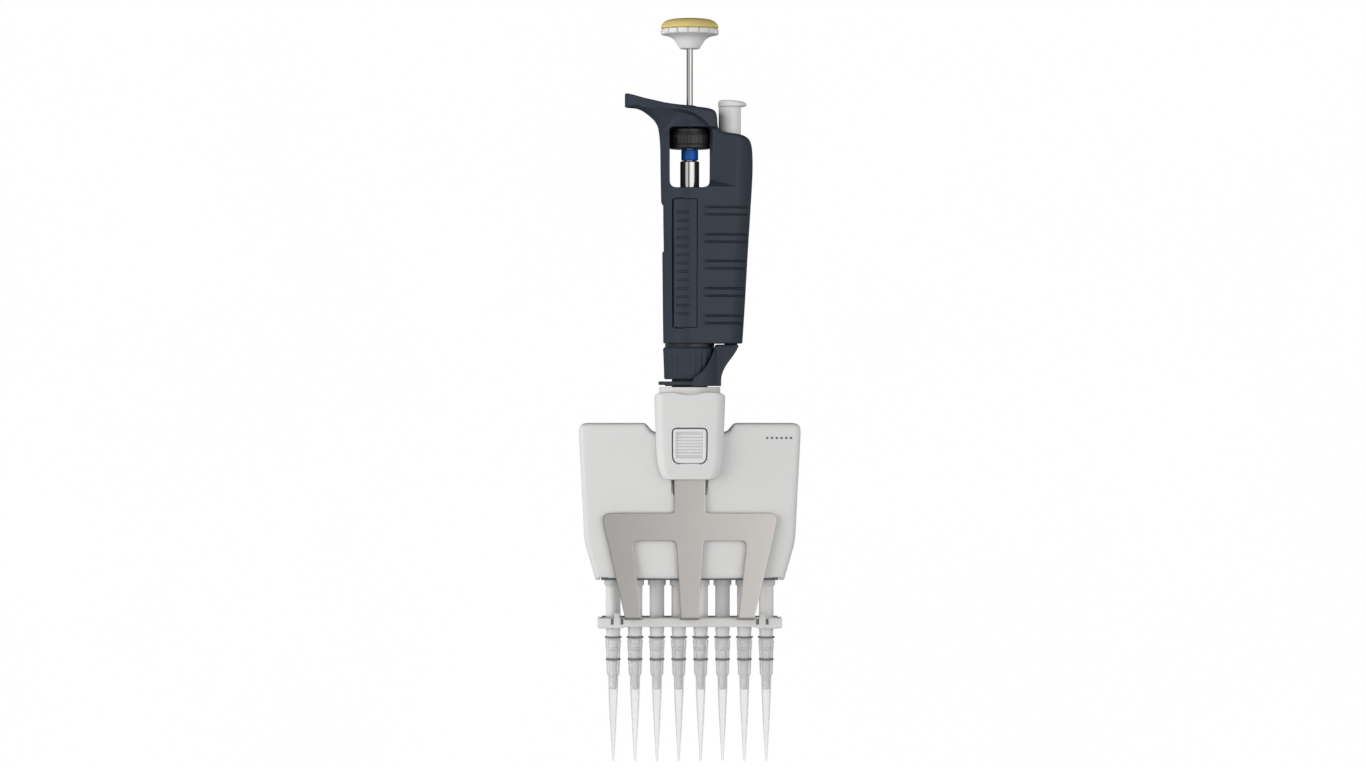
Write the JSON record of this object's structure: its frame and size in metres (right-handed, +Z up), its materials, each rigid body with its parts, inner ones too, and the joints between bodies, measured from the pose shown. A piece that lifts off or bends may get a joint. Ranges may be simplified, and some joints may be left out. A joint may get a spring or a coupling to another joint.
{
  "type": "multichannel pipette",
  "caption": "Hand-held air-displacement pipette with a row of nozzles and tips, swivelling manifold, dialled volume, plunger and sprung tip ejector.",
  "frame": {"origin": "middle of the flat face under the finger hook, where the pipette hangs on a rest", "axes": "+Z up along the plunger, +X from the finger hook towards the ejector button, -Y out of the manifold's flat front with the release button"},
  "size_m": [0.0908, 0.0285, 0.3055],
  "materials": {
    "navy_plastic": "fine-textured dark navy moulded plastic, satin",
    "light_plastic": "light grey-white moulded plastic, satin",
    "white_plastic": "white moulded plastic, semi-gloss",
    "yellow_plastic": "pale yellow cap, semi-gloss",
    "black_plastic": "black moulded plastic, ribbed",
    "blue_plastic": "blue moulded plastic ring",
    "grey_plastic": "light grey engineering plastic, satin",
    "inner_plastic": "dark grey glass-filled plastic",
    "natural_plastic": "natural low-friction plastic",
    "red_plastic": "red printed drum",
    "clear_lens": "clear polycarbonate lens",
    "clear_tip": "translucent polypropylene",
    "polished_steel": "polished stainless steel",
    "brushed_sheet": "brushed stainless sheet",
    "spring_steel": "drawn spring wire",
    "brass": "turned brass",
    "alloy": "machined aluminium",
    "black_rubber": "nitrile rubber"
  },
  "bodies": {
    "handle": {"handle_shell": "navy_plastic", "handle_insert": "black_plastic", "rod_guide_bush": "natural_plastic", "volumeter_housing": "natural_plastic", "volumeter_window": "clear_lens", "micrometer_nut": "brass", "ejector_guide_bush": "natural_plastic", "ejector_spring": "spring_steel", "plunger_spring": "spring_steel", "blowout_spring": "spring_steel"},
    "volume_dial": {"thumbwheel": "black_plastic", "drive_sleeve": "polished_steel", "friction_ring": "blue_plastic"},
    "micrometer": {"micrometer_screw": "polished_steel"},
    "tens_wheel": {"drum_tens": "white_plastic"},
    "units_wheel": {"drum_units": "white_plastic"},
    "tenths_wheel": {"drum_tenths": "red_plastic"},
    "plunger": {"push_button": "white_plastic", "button_cap": "yellow_plastic", "plunger_rod": "polished_steel", "stop_collar": "brass"},
    "second_stop": {"blowout_washer": "alloy"},
    "nut": {"coupling_nut": "navy_plastic"},
    "manifold": {"thrust_washer": "natural_plastic", "swivel_neck": "black_plastic", "manifold_front_cover": "light_plastic", "manifold_rear_cover": "light_plastic", "nozzle_plate": "inner_plastic", "seal_plate": "alloy", "tip_holders": "grey_plastic", "piston_seals": "natural_plastic", "seal_orings": "black_rubber", "guide_posts": "polished_steel", "return_springs": "spring_steel", "cover_screws": "alloy"},
    "piston_set": {"piston_carrier": "inner_plastic", "carrier_pad": "brass", "carrier_bushes": "brass", "pistons": "polished_steel"},
    "ejector_drive": {"ejector_button": "white_plastic", "ejector_rod": "polished_steel", "ejector_arm": "navy_plastic"},
    "ejector_slide": {"ejector_collar": "light_plastic", "ejector_fork": "brushed_sheet", "stripper_bar": "light_plastic", "release_spring": "spring_steel"},
    "release": {"release_button": "white_plastic"},
    "tip_set": {"tips": "clear_tip"}
  },
  "joints": [
    {"name": "volume_turn", "type": "hinge", "parent": "handle", "child": "volume_dial", "pos_m": [0.0244, 0, -0.014], "axis": [0, 0, 1], "range_deg": [-6485, 0]},
    {"name": "screw_advance", "type": "slide", "parent": "volume_dial", "child": "micrometer", "axis": [0, 0, -1], "range_m": [0, 0.009]},
    {"name": "tens_count", "type": "hinge", "parent": "handle", "child": "tens_wheel", "pos_m": [0.0244, 0, -0.0445], "axis": [0, 0, 1], "range_deg": [-65, 0]},
    {"name": "units_count", "type": "hinge", "parent": "handle", "child": "units_wheel", "pos_m": [0.0244, 0, -0.0507], "axis": [0, 0, 1], "range_deg": [-649, 0]},
    {"name": "tenths_count", "type": "hinge", "parent": "handle", "child": "tenths_wheel", "pos_m": [0.0244, 0, -0.057], "axis": [0, 0, 1], "range_deg": [-6485, 0]},
    {"name": "plunger_press", "type": "slide", "parent": "volume_dial", "child": "plunger", "axis": [0, 0, -1], "range_m": [0, 0.0145], "stiffness_N_per_m": 500, "springref_m": -0.006, "deforming": ["plunger_spring"]},
    {"name": "second_stop_travel", "type": "slide", "parent": "handle", "child": "second_stop", "axis": [0, 0, -1], "range_m": [0, 0.0046], "deforming": ["blowout_spring"]},
    {"name": "nut_turn", "type": "hinge", "parent": "handle", "child": "nut", "pos_m": [0.0244, 0, -0.105], "axis": [0, 0, 1], "range_deg": [0, 1080]},
    {"name": "manifold_swivel", "type": "hinge", "parent": "handle", "child": "manifold", "pos_m": [0.0244, 0, -0.12], "axis": [0, 0, 1], "continuous": true},
    {"name": "piston_stroke", "type": "slide", "parent": "manifold", "child": "piston_set", "axis": [0, 0, -1], "range_m": [0, 0.0146], "deforming": ["return_springs"]},
    {"name": "ejector_press", "type": "slide", "parent": "handle", "child": "ejector_drive", "axis": [0, 0, -1], "range_m": [0, 0.009], "stiffness_N_per_m": 300, "springref_m": -0.006, "deforming": ["ejector_spring"]},
    {"name": "stripper_travel", "type": "slide", "parent": "manifold", "child": "ejector_slide", "axis": [0, 0, -1], "range_m": [0, 0.0091]},
    {"name": "release_press", "type": "slide", "parent": "ejector_slide", "child": "release", "axis": [0, 1, 0], "range_m": [0, 0.0011], "stiffness_N_per_m": 800, "springref_m": -0.001, "deforming": ["release_spring"]},
    {"name": "tips_off", "type": "slide", "parent": "ejector_slide", "child": "tip_set", "axis": [0, 0, -1], "range_m": [0, 0.024]}
  ],
  "couplings": [
    {"joint": "volume_turn", "follows": "screw_advance", "rad_per_m": -12566},
    {"joint": "tenths_count", "follows": "screw_advance", "rad_per_m": -12566},
    {"joint": "units_count", "follows": "screw_advance", "rad_per_m": -1256.6},
    {"joint": "tens_count", "follows": "screw_advance", "rad_per_m": -125.66},
    {"joint": "second_stop_travel", "follows": "plunger_press", "ratio": 0.31034},
    {"joint": "piston_stroke", "follows": "plunger_press", "ratio": 1},
    {"joint": "stripper_travel", "follows": "ejector_press", "ratio": 1}
  ]
}
